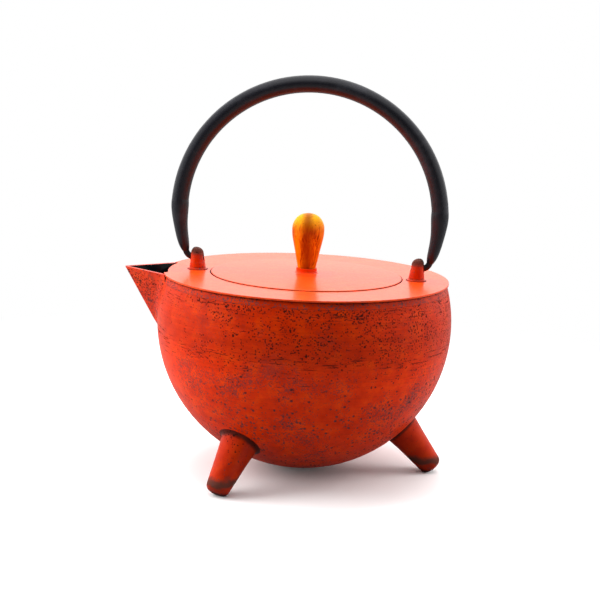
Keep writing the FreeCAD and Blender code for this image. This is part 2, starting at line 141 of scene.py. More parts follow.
def castIronPaint(piece):
    look = ironLooks[piece]
    tone = ironPaint
    material, tree = newTree("redPaintOnCastIron" + piece.capitalize())
    place = add(tree, "ShaderNodeTexCoord").outputs["Object"]
    axis = add(tree, "ShaderNodeSeparateXYZ", Vector=place)

    # uneven outlines: every pattern is looked up a little to one side
    wobble = add(tree, "ShaderNodeTexNoise", Vector=place, Scale=1 / (0.9 * mm),
            Detail=2.0).outputs["Color"]
    wobble = add(tree, "ShaderNodeVectorMath", {"operation": "SUBTRACT"}, i0=wobble,
            i1=(0.5, 0.5, 0.5)).outputs[0]
    wobble = add(tree, "ShaderNodeVectorMath", {"operation": "SCALE"}, i0=wobble, Scale=0.9 * mm).outputs[0]
    rough = add(tree, "ShaderNodeVectorMath", {"operation": "ADD"}, i0=place, i1=wobble).outputs[0]

    # how many pits: by height, in patches some 12 mm across
    height = add(tree, "ShaderNodeMapRange", Value=axis.outputs["Z"], i1=look["low"] * mm,
            i2=look["high"] * mm).outputs[0]
    density = add(tree, "ShaderNodeValToRGB", {"stops": look["pits"]}, Fac=height).outputs["Color"]
    patch = add(tree, "ShaderNodeTexNoise", Vector=place, Scale=1 / (13 * mm), Detail=3.0,
            Roughness=0.6).outputs["Fac"]
    patch = add(tree, "ShaderNodeMapRange", Value=patch, i1=0.34, i2=0.62, i3=0.45, i4=1.3).outputs[0]
    density = add(tree, "ShaderNodeMath", {"operation": "MULTIPLY"}, i0=density, i1=patch).outputs[0]
    if look.get("quietSide"):
        quiet = add(tree, "ShaderNodeMapRange", {"interpolation_type": "SMOOTHSTEP"},
                Value=axis.outputs["X"],
                    i1=-70 * mm, i2=-20 * mm, i3=0.45, i4=1.0).outputs[0]
        density = add(tree, "ShaderNodeMath", {"operation": "MULTIPLY"}, i0=density, i1=quiet).outputs[0]

    # two sizes of pit; a cell holds one where the density beats its random number
    pitMask, pitDepth = None, None
    fineShare, coarseShare = 1.0, 0.6
    if piece == "bowl":
        # fewer but larger specks lower down
        fineShare = add(tree, "ShaderNodeMapRange", Value=height, i1=0.5, i2=0.74, i3=0.55,
                i4=1.0).outputs[0]
        coarseShare = add(tree, "ShaderNodeMapRange", Value=height, i1=0.5, i2=0.74, i3=1.15,
                i4=0.55).outputs[0]
    for spacing, widest, share in ((tone["finePit"], 0.50, fineShare),
            (tone["coarsePit"], 0.40, coarseShare)):
        cells = add(tree, "ShaderNodeTexVoronoi", Vector=rough, Scale=1 / (spacing * mm))
        chance = add(tree, "ShaderNodeSeparateColor", Color=cells.outputs["Color"]).outputs[0]
        wide = add(tree, "ShaderNodeMath", {"operation": "MULTIPLY_ADD"}, i0=density, i1=share,
                i2=0.0).outputs[0]
        wide = add(tree, "ShaderNodeMath", {"operation": "SUBTRACT"}, i0=wide, i1=chance).outputs[0]
        wide = add(tree, "ShaderNodeMapRange", Value=wide, i1=0.0, i2=0.38, i3=0.0, i4=widest).outputs[0]
        inside = add(tree, "ShaderNodeMath", {"operation": "SUBTRACT"}, i0=wide,
                i1=cells.outputs["Distance"]).outputs[0]
        mask = add(tree, "ShaderNodeMapRange", {"interpolation_type": "SMOOTHSTEP"}, Value=inside, i1=0.0,
                i2=0.13).outputs[0]
        bowlShape = add(tree, "ShaderNodeMapRange", Value=inside, i1=0.0, i2=0.3, i3=0.0,
                i4=spacing * 0.25).outputs[0]
        pitMask = mask if pitMask is None else add(tree, "ShaderNodeMath", {"operation": "MAXIMUM"},
                i0=pitMask, i1=mask).outputs[0]
        pitDepth = bowlShape if pitDepth is None else add(tree, "ShaderNodeMath", {"operation": "MAXIMUM"},
                i0=pitDepth, i1=bowlShape).outputs[0]

    # short dashes and faint lines left by wiping the second colour around the pot
    if look["streaks"]:
        stretch = (1 / (tone["streakLength"] * mm), 1 / (tone["streakLength"] * mm),
                1 / (tone["streakHeight"] * mm))
        along = add(tree, "ShaderNodeMapping", Vector=rough, Scale=stretch).outputs[0]
        dash = add(tree, "ShaderNodeTexNoise", Vector=along, Scale=1.0, Detail=4.0,
                Roughness=0.62).outputs["Fac"]
        band = add(tree, "ShaderNodeValToRGB",
                {"stops": [(0, 0.0), (0.5, 0.25), (0.68, 0.7), (0.745, 1.0), (0.8, 0.45), (0.9, 0.55),
                (0.97, 0.95), (1, 0.6)]},
                   Fac=height).outputs["Color"]
        edge = add(tree, "ShaderNodeMath", {"operation": "MULTIPLY_ADD"}, i0=band,
                i1=-0.17 * look["streaks"], i2=0.725).outputs[0]
        dash = add(tree, "ShaderNodeMath", {"operation": "SUBTRACT"}, i0=dash, i1=edge).outputs[0]
        dash = add(tree, "ShaderNodeMapRange", {"interpolation_type": "SMOOTHSTEP"}, Value=dash, i1=0.0,
                i2=0.07, i3=0.0, i4=0.85).outputs[0]
        pitMask = add(tree, "ShaderNodeMath", {"operation": "MAXIMUM"}, i0=pitMask, i1=dash).outputs[0]
        pitDepth = add(tree, "ShaderNodeMath", {"operation": "MULTIPLY_ADD"}, i0=dash, i1=0.1,
                i2=pitDepth).outputs[0]

    # the red itself, cloudy from being brushed on thin
    cloud = add(tree, "ShaderNodeTexNoise", Vector=place, Scale=1 / (7 * mm), Detail=5.0,
            Roughness=0.6).outputs["Fac"]
    red = add(tree, "ShaderNodeValToRGB", {"stops": [(0.24, tone["deepRed"]), (0.5, tone["red"]),
            (0.8, tone["brightRed"])]}, Fac=cloud).outputs["Color"]
    smear = add(tree, "ShaderNodeTexNoise", Vector=place, Scale=1 / (4 * mm), Detail=4.0,
            Roughness=0.65).outputs["Fac"]
    smear = add(tree, "ShaderNodeMapRange", {"interpolation_type": "SMOOTHSTEP"}, Value=smear, i1=0.52,
            i2=0.72,
                i3=0.0, i4=0.9 if look.get("muddy") else 0.16).outputs[0]
    smear = add(tree, "ShaderNodeMath", {"operation": "MULTIPLY"}, i0=smear, i1=density).outputs[0]
    red = add(tree, "ShaderNodeMix", {"data_type": "RGBA"}, i0=smear, i6=red,
            i7=linear(tone["smudge"])).outputs[2]

    if look.get("sponge"):
        blot = add(tree, "ShaderNodeTexNoise", Vector=rough, Scale=1 / (1.0 * mm), Detail=3.0,
                Roughness=0.7).outputs["Fac"]
        gather = add(tree, "ShaderNodeTexNoise", Vector=place, Scale=1 / (19 * mm),
                Detail=3.0).outputs["Fac"]
        blot = add(tree, "ShaderNodeMath", {"operation": "MULTIPLY_ADD"}, i0=gather, i1=0.6,
                i2=blot).outputs[0]
        blot = add(tree, "ShaderNodeMapRange", {"interpolation_type": "SMOOTHSTEP"}, Value=blot, i1=0.87,
                i2=0.92, i3=0.0, i4=0.75).outputs[0]
        lowDown = add(tree, "ShaderNodeValToRGB",
                {"stops": [(0.05, 0.35), (0.3, 1.0), (0.6, 0.9), (0.75, 0.35), (1.0, 0.3)]},
                Fac=height).outputs["Color"]
        blot = add(tree, "ShaderNodeMath", {"operation": "MULTIPLY"}, i0=blot, i1=lowDown).outputs[0]
        red = add(tree, "ShaderNodeMix", {"data_type": "RGBA"}, i0=blot, i6=red,
                i7=linear(tone["softPit"])).outputs[2]
    if look.get("flatTop"):
        # painted reflection: the flat top is mixed towards a lighter orange, standing in for the glare of the bright
        # surroundings on it; it also gets a clear coat
        onTop = add(tree, "ShaderNodeMath", {"operation": "GREATER_THAN"}, i0=axis.outputs["Z"],
                i1=topZ - tone["flatTopFrom"] * mm).outputs[0]
        belowBoss = add(tree, "ShaderNodeMath", {"operation": "LESS_THAN"}, i0=axis.outputs["Z"],
                i1=topZ + 1.4 * mm).outputs[0]
        onTop = add(tree, "ShaderNodeMath", {"operation": "MULTIPLY"}, i0=onTop, i1=belowBoss).outputs[0]
        coat = add(tree, "ShaderNodeMath", {"operation": "MULTIPLY"}, i0=onTop,
                i1=look["polish"]).outputs[0]
        onTop = add(tree, "ShaderNodeMath", {"operation": "MULTIPLY"}, i0=onTop, i1=0.22).outputs[0]
        red = add(tree, "ShaderNodeMix", {"data_type": "RGBA"}, i0=onTop, i6=red,
                i7=linear(tone["plate"])).outputs[2]

    # paint rubbed off sharp edges, found by how far a rounded normal leans from the true one
    soft = add(tree, "ShaderNodeBevel", {"samples": 4}, Radius=0.5 * mm).outputs[0]
    true = add(tree, "ShaderNodeNewGeometry").outputs["Normal"]
    if piece == "spout":
        # no rounding where the beak runs into the bowl
        off = add(tree, "ShaderNodeVectorMath", {"operation": "DISTANCE"}, i0=place,
                i1=tuple(bowlCentre)).outputs["Value"]
        off = add(tree, "ShaderNodeMapRange", Value=off, i1=bowlRadius + 0.9 * mm,
                i2=bowlRadius + 1.6 * mm).outputs[0]
        high = add(tree, "ShaderNodeMath", {"operation": "GREATER_THAN"}, i0=axis.outputs["Z"],
                i1=tone["spoutRim"] * mm).outputs[0]
        off = add(tree, "ShaderNodeMath", {"operation": "MAXIMUM"}, i0=off, i1=high).outputs[0]
        soft = add(tree, "ShaderNodeMix", {"data_type": "VECTOR"}, i0=off, i4=true, i5=soft).outputs[1]
    lean = add(tree, "ShaderNodeVectorMath", {"operation": "DOT_PRODUCT"}, i0=soft,
            i1=true).outputs["Value"]
    chip = add(tree, "ShaderNodeTexNoise", Vector=rough, Scale=1 / (1.6 * mm), Detail=3.0).outputs["Fac"]
    chip = add(tree, "ShaderNodeMapRange", Value=chip, i1=0.42, i2=0.62, i3=0.0, i4=look["wear"]).outputs[0]
    worn = add(tree, "ShaderNodeMapRange", {"interpolation_type": "SMOOTHSTEP"}, Value=lean, i1=0.985,
            i2=0.9).outputs[0]
    worn = add(tree, "ShaderNodeMath", {"operation": "MULTIPLY"}, i0=worn, i1=chip).outputs[0]
    if look.get("muddy"):
        rimOnly = add(tree, "ShaderNodeMath", {"operation": "GREATER_THAN"}, i0=axis.outputs["Z"],
                i1=tone["spoutRim"] * mm).outputs[0]
        worn = add(tree, "ShaderNodeMath", {"operation": "MULTIPLY"}, i0=worn, i1=rimOnly).outputs[0]
    if look.get("wornTop"):
        crest = add(tree, "ShaderNodeMath", {"operation": "MULTIPLY_ADD"}, i0=cloud, i1=-0.5,
                i2=height).outputs[0]
        crest = add(tree, "ShaderNodeMapRange", {"interpolation_type": "SMOOTHSTEP"}, Value=crest, i1=0.26,
                i2=0.52, i3=0.0, i4=0.9).outputs[0]
        worn = add(tree, "ShaderNodeMath", {"operation": "MAXIMUM"}, i0=worn, i1=crest).outputs[0]
    if look.get("tipRing"):
        ringPlace = add(tree, "ShaderNodeMath", {"operation": "MULTIPLY_ADD"}, i0=cloud, i1=0.22,
                i2=height).outputs[0]
        ringMask = add(tree, "ShaderNodeValToRGB",
                {"stops": [(0.0, 0.1), (0.26, 0.2), (0.32, 0.9), (0.38, 0.85), (0.46, 0.05), (1.0, 0.0)]},
                       Fac=ringPlace).outputs["Color"]
        worn = add(tree, "ShaderNodeMath", {"operation": "MAXIMUM"}, i0=worn, i1=ringMask).outputs[0]

    rootShadeAndWax = None
    if piece == "foot":
        # painted shade in the crease where the foot meets the bowl, darkening the fillet, with dark wax there too
        off = add(tree, "ShaderNodeVectorMath", {"operation": "DISTANCE"}, i0=place,
                i1=tuple(bowlCentre)).outputs["Value"]
        off = add(tree, "ShaderNodeMath", {"operation": "MULTIPLY_ADD"}, i0=cloud, i1=1.6 * mm,
                i2=off).outputs[0]
        rootShadeAndWax = add(tree, "ShaderNodeMapRange", {"interpolation_type": "SMOOTHSTEP"}, Value=off,
                       i1=bowlRadius + 3.4 * mm, i2=bowlRadius + 1.5 * mm, i3=0.0, i4=0.85).outputs[0]

    # dark wax left in corners, found by ambient occlusion, so it also paints shade into corners and into gaps between
    # parts
    corner = add(tree, "ShaderNodeAmbientOcclusion", {"samples": 4}, Distance=3.5 * mm).outputs["AO"]
    corner = add(tree, "ShaderNodeMath", {"operation": "MULTIPLY_ADD"}, i0=cloud, i1=0.5,
            i2=corner).outputs[0]
    corner = add(tree, "ShaderNodeMapRange", {"interpolation_type": "SMOOTHSTEP"}, Value=corner, i1=1.0,
            i2=0.62,
                 i3=0.0, i4=min(1.0, 0.5 * look["grimeAndShade"])).outputs[0]
    if rootShadeAndWax:
        corner = add(tree, "ShaderNodeMath", {"operation": "MAXIMUM"}, i0=corner, i1=rootShadeAndWax).outputs[0]
    if piece == "bowl":
        offSpout = add(tree, "ShaderNodeMapRange", Value=axis.outputs["X"], i1=-66 * mm,
                i2=-56 * mm).outputs[0]
        corner = add(tree, "ShaderNodeMath", {"operation": "MULTIPLY"}, i0=corner, i1=offSpout).outputs[0]

    # painted shade: the whole colour of the spout, lugs and feet is darkened for the dimmer light they sit in
    paintedShade = look.get("shade", 1.0)
    red = add(tree, "ShaderNodeMix", {"data_type": "RGBA", "blend_type": "MULTIPLY"}, i0=1.0, i6=red,
            i7=(paintedShade, paintedShade, paintedShade, 1)).outputs[2]
    if look.get("under"):
        # faint lines wiped round the pot, and painted shadow of the rim: darker towards the rim
        lines = add(tree, "ShaderNodeMapping", Vector=place,
                Scale=(1 / (40 * mm), 1 / (40 * mm), 1 / (1.3 * mm))).outputs[0]
        lines = add(tree, "ShaderNodeTexNoise", Vector=lines, Scale=1.0, Detail=4.0,
                Roughness=0.7).outputs["Fac"]
        lines = add(tree, "ShaderNodeMapRange", Value=lines, i1=0.35, i2=0.7, i3=-0.07, i4=0.16).outputs[0]
        under = add(tree, "ShaderNodeMapRange", {"interpolation_type": "SMOOTHSTEP"}, Value=height, 
                    i1=look["underFrom"], i2=look["underTo"], i3=0.0, i4=1 - look["under"]).outputs[0]
        if look.get("flatTop"):
            side = add(tree, "ShaderNodeMath", {"operation": "LESS_THAN"}, i0=axis.outputs["Z"],
                    i1=topZ - tone["flatTopFrom"] * mm).outputs[0]
            lines = add(tree, "ShaderNodeMath", {"operation": "MULTIPLY"}, i0=lines, i1=side).outputs[0]
        under = add(tree, "ShaderNodeMath", {"operation": "ADD"}, i0=under, i1=lines).outputs[0]
        red = add(tree, "ShaderNodeMix", {"data_type": "RGBA"}, i0=under, i6=red,
                i7=linear(tone["under"])).outputs[2]
    colour = add(tree, "ShaderNodeMix", {"data_type": "RGBA"}, i0=worn, i6=red,
            i7=linear(tone["worn"])).outputs[2]
    colour = add(tree, "ShaderNodeMix", {"data_type": "RGBA"}, i0=corner, i6=colour,
            i7=linear(tone["pit"])).outputs[2]
    # pits low on the pot hold less of the dark colour
    pitTone = add(tree, "ShaderNodeValToRGB", {"stops": [(0.4, tone["softPit"]), (0.72, tone["pit"])]},
            Fac=height).outputs["Color"]
    pitShow = add(tree, "ShaderNodeMath", {"operation": "MULTIPLY"}, i0=pitMask,
            i1=tone["pitShow"]).outputs[0]
    colour = add(tree, "ShaderNodeMix", {"data_type": "RGBA"}, i0=pitShow, i6=colour, i7=pitTone).outputs[2]

    # enamel: inside the spout's trough, and below the flat top inside the lid's recess
    bare = add(tree, "ShaderNodeMath", {"operation": "MAXIMUM"}, i0=worn, i1=pitMask).outputs[0]
    apex = add(tree, "ShaderNodeMath", {"operation": "MULTIPLY_ADD"}, i0=axis.outputs["Z"],
            i1=tone["troughSlope"], i2=(tone["troughTip"] - tone["troughSlope"] * tone["troughHeight"]) * mm).outputs[0]
    inTrough = add(tree, "ShaderNodeMath", {"operation": "ADD"}, i0=axis.outputs["X"], i1=apex).outputs[0]
    inTrough = add(tree, "ShaderNodeMath", {"operation": "MULTIPLY"}, i0=inTrough,
            i1=tone["troughCosine"]).outputs[0]
    aside = add(tree, "ShaderNodeMath", {"operation": "ABSOLUTE"}, i0=axis.outputs["Y"]).outputs[0]
    inTrough = add(tree, "ShaderNodeMath", {"operation": "SUBTRACT"}, i0=inTrough, i1=aside).outputs[0]
    enamel = add(tree, "ShaderNodeMapRange", Value=inTrough, i1=-0.25 * mm, i2=-0.1 * mm).outputs[0]
    outer = add(tree, "ShaderNodeMath", {"operation": "LESS_THAN"}, i0=axis.outputs["X"],
            i1=-60 * mm).outputs[0]
    lowTrough = add(tree, "ShaderNodeMath", {"operation": "LESS_THAN"}, i0=axis.outputs["Z"],
            i1=topZ - 0.2 * mm).outputs[0]
    enamel = add(tree, "ShaderNodeMath", {"operation": "MULTIPLY"}, i0=enamel, i1=outer).outputs[0]
    enamel = add(tree, "ShaderNodeMath", {"operation": "MULTIPLY"}, i0=enamel, i1=lowTrough).outputs[0]
    if look["enamelHeight"]:
        flat = add(tree, "ShaderNodeVectorMath", {"operation": "MULTIPLY"}, i0=place,
                i1=(1, 1, 0)).outputs[0]
        away = add(tree, "ShaderNodeVectorMath", {"operation": "LENGTH"}, i0=flat).outputs["Value"]
        within = add(tree, "ShaderNodeMath", {"operation": "LESS_THAN"}, i0=away,
                i1=recessRadius + 3.4 * mm).outputs[0]
        below = add(tree, "ShaderNodeMath", {"operation": "LESS_THAN"}, i0=axis.outputs["Z"],
                i1=look["enamelHeight"] * mm).outputs[0]
        below = add(tree, "ShaderNodeMath", {"operation": "MULTIPLY"}, i0=below, i1=within).outputs[0]
        enamel = add(tree, "ShaderNodeMath", {"operation": "MAXIMUM"}, i0=enamel, i1=below).outputs[0]
    colour = add(tree, "ShaderNodeMix", {"data_type": "RGBA"}, i0=enamel, i6=colour,
            i7=linear(tone["enamel"])).outputs[2]

    # relief: casting skin, brushed paint, pits
    skin = add(tree, "ShaderNodeTexNoise", Vector=place, Scale=1 / (1.1 * mm), Detail=3.0,
            Roughness=0.6).outputs["Fac"]
    swell = add(tree, "ShaderNodeTexNoise", Vector=place, Scale=1 / (9 * mm), Detail=2.0).outputs["Fac"]
    relief = add(tree, "ShaderNodeMath", {"operation": "MULTIPLY_ADD"}, i0=swell, i1=0.5, i2=0.0).outputs[0]
    relief = add(tree, "ShaderNodeMath", {"operation": "MULTIPLY_ADD"}, i0=skin, i1=0.10,
            i2=relief).outputs[0]
    relief = add(tree, "ShaderNodeMath", {"operation": "MULTIPLY_ADD"}, i0=pitDepth, i1=-1.0,
            i2=relief).outputs[0]
    flatten = add(tree, "ShaderNodeMath", {"operation": "SUBTRACT"}, i0=1.0, i1=enamel).outputs[0]
    strength = add(tree, "ShaderNodeMath", {"operation": "MULTIPLY"}, i0=flatten,
            i1=0.8 * look["relief"]).outputs[0]
    bump = add(tree, "ShaderNodeBump", Height=relief, Distance=0.35 * mm, Strength=strength,
            Normal=soft).outputs[0]

    gloss = add(tree, "ShaderNodeMath", {"operation": "MULTIPLY_ADD"}, i0=skin, i1=0.16,
            i2=tone["paintRough"] - 0.08).outputs[0]
    gloss = add(tree, "ShaderNodeMix", i0=bare, i2=gloss, i3=tone["pitRough"]).outputs[0]
    gloss = add(tree, "ShaderNodeMix", i0=enamel, i2=gloss, i3=tone["enamelRough"]).outputs[0]
    surface = add(tree, "ShaderNodeBsdfPrincipled", Base_Color=colour, Roughness=gloss, Normal=bump)
    surface.inputs["Specular IOR Level"].default_value = look["shine"]
    if look.get("polish"):
        tree.links.new(coat, surface.inputs["Coat Weight"])
        surface.inputs["Coat Roughness"].default_value = 0.13
    add(tree, "ShaderNodeOutputMaterial", Surface=surface.outputs[0])
    return material


# Vitreous enamel fired on the iron: black glass with a faint orange-peel
enamelLook = {"colour": "0B0C10", "thin": "1A1714", "rough": 0.12, "peel": 2.4}


def blackEnamel():
    material, tree = newTree("blackVitreousEnamel")
    place = add(tree, "ShaderNodeTexCoord").outputs["Object"]
    peel = add(tree, "ShaderNodeTexNoise", Vector=place, Scale=1 / (enamelLook["peel"] * mm),
            Detail=2.0).outputs["Fac"]
    scale = add(tree, "ShaderNodeTexNoise", Vector=place, Scale=1 / (14 * mm), Detail=4.0).outputs["Fac"]
    rough = add(tree, "ShaderNodeMapRange", Value=scale, i1=0.35, i2=0.7, i3=enamelLook["rough"],
            i4=enamelLook["rough"] + 0.14).outputs[0]
    tint = add(tree, "ShaderNodeValToRGB", {"stops": [(0.4, enamelLook["colour"]),
            (0.75, enamelLook["thin"])]}, Fac=scale).outputs["Color"]
    bump = add(tree, "ShaderNodeBump", Height=peel, Distance=0.08 * mm, Strength=0.6).outputs[0]
    surface = add(tree, "ShaderNodeBsdfPrincipled", Base_Color=tint, Roughness=rough, Normal=bump)
    add(tree, "ShaderNodeOutputMaterial", Surface=surface.outputs[0])
    return material


# Steel bar under a baked black coat: satin, slightly pebbled, thinner and greyer in patches, with rare pale specks
bailLook = {"colour": "14141B", "thin": "33333A", "rough": 0.33, "pebble": 1.0}


def blackBail():
    material, tree = newTree("bakedBlackCoatOnSteel")
    place = add(tree, "ShaderNodeTexCoord").outputs["Object"]
    pebble = add(tree, "ShaderNodeTexNoise", Vector=place, Scale=1 / (bailLook["pebble"] * mm), Detail=3.0,
            Roughness=0.55).outputs["Fac"]
    broad = add(tree, "ShaderNodeTexNoise", Vector=place, Scale=1 / (11 * mm), Detail=4.0,
            Roughness=0.6).outputs["Fac"]
    speck = add(tree, "ShaderNodeTexVoronoi", Vector=place, Scale=1 / (2.2 * mm))
    chance = add(tree, "ShaderNodeSeparateColor", Color=speck.outputs["Color"]).outputs[0]
    rare = add(tree, "ShaderNodeMapRange", Value=chance, i1=0.86, i2=1.0, i3=0.0, i4=0.16).outputs[0]
    dot = add(tree, "ShaderNodeMath", {"operation": "SUBTRACT"}, i0=rare,
            i1=speck.outputs["Distance"]).outputs[0]
    dot = add(tree, "ShaderNodeMapRange", Value=dot, i1=0.0, i2=0.05, i3=0.0, i4=0.35).outputs[0]
    thin = add(tree, "ShaderNodeMapRange", {"interpolation_type": "SMOOTHSTEP"}, Value=broad, i1=0.5,
            i2=0.75, i3=0.0, i4=0.5).outputs[0]
    thin = add(tree, "ShaderNodeMath", {"operation": "MAXIMUM"}, i0=thin, i1=dot).outputs[0]
    colour = add(tree, "ShaderNodeMix", {"data_type": "RGBA"}, i0=thin, i6=linear(bailLook["colour"]),
            i7=linear(bailLook["thin"])).outputs[2]
    rough = add(tree, "ShaderNodeMapRange", Value=broad, i1=0.3, i2=0.7, i3=bailLook["rough"] - 0.05,
            i4=bailLook["rough"] + 0.1).outputs[0]
    bump = add(tree, "ShaderNodeBump", Height=pebble, Distance=0.12 * mm, Strength=0.45).outputs[0]
    surface = add(tree, "ShaderNodeBsdfPrincipled", Base_Color=colour, Roughness=rough, Normal=bump)
    surface.inputs["Specular IOR Level"].default_value = 0.34
    add(tree, "ShaderNodeOutputMaterial", Surface=surface.outputs[0])
    return material


# Turned beech stained honey and lacquered: fine straight grain up the knob, darker pores, a clear gloss
# coat
woodLook = {"light": "F29208", "honey": "D26200", "dark": "8C3000", "crown": "FFB81C", "pore": "6E2800",
        "grain": 0.8, "length": 12.0}


def lacqueredWood():
    material, tree = newTree("lacqueredBeech")
    place = add(tree, "ShaderNodeTexCoord").outputs["Object"]
    axis = add(tree, "ShaderNodeSeparateXYZ", Vector=place)
    bend = add(tree, "ShaderNodeTexNoise", Vector=place, Scale=1 / (18 * mm), Detail=1.0).outputs["Color"]
    bend = add(tree, "ShaderNodeVectorMath", {"operation": "SCALE"}, i0=bend, Scale=5 * mm).outputs[0]
    bent = add(tree, "ShaderNodeVectorMath", {"operation": "ADD"}, i0=place, i1=bend).outputs[0]
    fine = (1 / (woodLook["grain"] * mm), 1 / (woodLook["grain"] * mm), 1 / (woodLook["length"] * mm))
    along = add(tree, "ShaderNodeMapping", Vector=bent, Scale=fine).outputs[0]
    grain = add(tree, "ShaderNodeTexNoise", Vector=along, Scale=1.0, Detail=5.0,
            Roughness=0.6).outputs["Fac"]
    rings = add(tree, "ShaderNodeTexWave", {"bands_direction": "X"}, Vector=bent, Scale=52.0,
            Distortion=3.0, Detail=2.0).outputs["Fac"]
    shade = add(tree, "ShaderNodeMath", {"operation": "MULTIPLY_ADD"}, i0=rings, i1=0.12,
            i2=grain).outputs[0]
    colour = add(tree, "ShaderNodeValToRGB", {"stops": [(0.36, woodLook["dark"]),
            (0.52, woodLook["honey"]), (0.8, woodLook["light"])]}, Fac=shade).outputs["Color"]
    # the crown is paler: end grain, and painted light where the lamp above falls on the top
    crown = add(tree, "ShaderNodeMapRange", {"interpolation_type": "SMOOTHSTEP"}, Value=axis.outputs["Z"],
            i1=topZ + 23 * mm, i2=topZ + 31 * mm, i3=0.0, i4=0.7).outputs[0]
    colour = add(tree, "ShaderNodeMix", {"data_type": "RGBA"}, i0=crown, i6=colour,
            i7=linear(woodLook["crown"])).outputs[2]
    # painted shade: a darker band up the front and back of the knob, the sides that face the dim camera side
    frontBackShade = add(tree, "ShaderNodeMath", {"operation": "ABSOLUTE"}, i0=axis.outputs["X"]).outputs[0]
    frontBackShade = add(tree, "ShaderNodeMapRange", {"interpolation_type": "SMOOTHSTEP"}, Value=frontBackShade,
            i1=0.4 * mm, i2=4.2 * mm, i3=0.75, i4=0.0).outputs[0]
    colour = add(tree, "ShaderNodeMix", {"data_type": "RGBA"}, i0=frontBackShade, i6=colour,
            i7=linear(woodLook["dark"])).outputs[2]
    pores = add(tree, "ShaderNodeMapping", Vector=bent,
            Scale=(1 / (0.45 * mm), 1 / (0.45 * mm), 1 / (5 * mm))).outputs[0]
    pores = add(tree, "ShaderNodeTexNoise", Vector=pores, Scale=1.0, Detail=2.0).outputs["Fac"]
    pores = add(tree, "ShaderNodeMapRange", {"interpolation_type": "SMOOTHSTEP"}, Value=pores, i1=0.6,
            i2=0.75, i3=0.0, i4=0.7).outputs[0]
    colour = add(tree, "ShaderNodeMix", {"data_type": "RGBA"}, i0=pores, i6=colour,
            i7=linear(woodLook["pore"])).outputs[2]
    bump = add(tree, "ShaderNodeBump", {"invert": True}, Height=pores, Distance=0.05 * mm,
            Strength=0.4).outputs[0]
    surface = add(tree, "ShaderNodeBsdfPrincipled", Base_Color=colour, Roughness=0.4, Normal=bump,
            Coat_Weight=0.03, Coat_Roughness=0.12)
    surface.inputs["Specular IOR Level"].default_value = 0.06
    add(tree, "ShaderNodeOutputMaterial", Surface=surface.outputs[0])
    return material


# Bright metals: turned brass, and stainless steel spun on a lathe, with fine rings around the pot's axis
metalLooks = {
    "turnedBrass": {"colour": "D8B56A", "dull": "9A7A3C", "rough": 0.24},
    "spunStainless": {"colour": "CFCFD1", "dull": "9C9C9E", "rough": 0.20},
    "wovenStainless": {"colour": "B8B8BA", "dull": "77777A", "rough": 0.33},
}


def brightMetal(name):
    look = metalLooks[name]
    material, tree = newTree(name)
    place = add(tree, "ShaderNodeTexCoord").outputs["Object"]
    axis = add(tree, "ShaderNodeSeparateXYZ", Vector=place)
    flat = add(tree, "ShaderNodeVectorMath", {"operation": "MULTIPLY"}, i0=place, i1=(1, 1, 0)).outputs[0]
    away = add(tree, "ShaderNodeVectorMath", {"operation": "LENGTH"}, i0=flat).outputs["Value"]
    rings = add(tree, "ShaderNodeCombineXYZ", X=away, Y=axis.outputs["Z"], Z=0.0).outputs[0]
    rings = add(tree, "ShaderNodeTexNoise", Vector=rings, Scale=1 / (0.35 * mm), Detail=3.0).outputs["Fac"]
    cloud = add(tree, "ShaderNodeTexNoise", Vector=place, Scale=1 / (6 * mm), Detail=4.0).outputs["Fac"]
    colour = add(tree, "ShaderNodeMapRange", Value=cloud, i1=0.45, i2=0.8, i3=0.0, i4=0.5).outputs[0]
    colour = add(tree, "ShaderNodeMix", {"data_type": "RGBA"}, i0=colour, i6=linear(look["colour"]),
            i7=linear(look["dull"])).outputs[2]
    rough = add(tree, "ShaderNodeMapRange", Value=rings, i1=0.3, i2=0.7, i3=look["rough"] - 0.05,
            i4=look["rough"] + 0.1).outputs[0]
    bump = add(tree, "ShaderNodeBump", Height=rings, Distance=0.02 * mm, Strength=0.5).outputs[0]
    surface = add(tree, "ShaderNodeBsdfPrincipled", Base_Color=colour, Metallic=1.0, Roughness=rough,
            Normal=bump)
    add(tree, "ShaderNodeOutputMaterial", Surface=surface.outputs[0])
    return material


finishes = {name: castIronPaint(name) for name in ironLooks}
finishes.update({name: brightMetal(name) for name in metalLooks})
finishes["enamel"] = blackEnamel()
finishes["bail"] = blackBail()
finishes["wood"] = lacqueredWood()
carriedOver = {
    "bowl": "bowl", "shoulder": "shoulder", "spout": "spout", "lid": "lid", "enamel_lining": "enamel",
    "bail_handle": "bail", "knob": "wood", "knob_insert": "turnedBrass", "knob_screw": "spunStainless",
    "knob_washer": "spunStainless", "infuser_rim": "spunStainless", "infuser_base_hoop": "spunStainless",
    "infuser_mesh_wall": "wovenStainless", "infuser_mesh_base": "wovenStainless",
    "lug_spout_side": "lug", "lug_rear_side": "lug",
    "foot_rear": "foot", "foot_front_right": "foot", "foot_front_left": "foot",
}
for name, finish in carriedOver.items():
    nodes[name].data.materials.clear()
    nodes[name].data.materials.append(finishes[finish])
print("materials made:", len(finishes))


def newPiece(name, bm, body, slot, finish, *replaced):
    # a finished bmesh becomes a piece that rides on a body and stands for CAD nodes
    mesh = bpy.data.meshes.new(name)
    bm.to_mesh(mesh)
    bm.free()
    piece = bpy.data.objects.new(name, mesh)
    bpy.context.scene.collection.objects.link(piece)
    mesh.materials.append(finishes[finish])
    for face in mesh.polygons:
        face.use_smooth = True
    mesh.set_sharp_from_angle(angle=math.radians(40))
    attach(piece, body)
    if replaced:
        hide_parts(*replaced)
    return piece


castFoot = {"tipRadius": 6.1, "tipRound": 3.3, "taper": 7.4, "splay": 40.5, "circle": 68.9, "grind": 0.5,
        "fillet": 2.4, "around": 72}


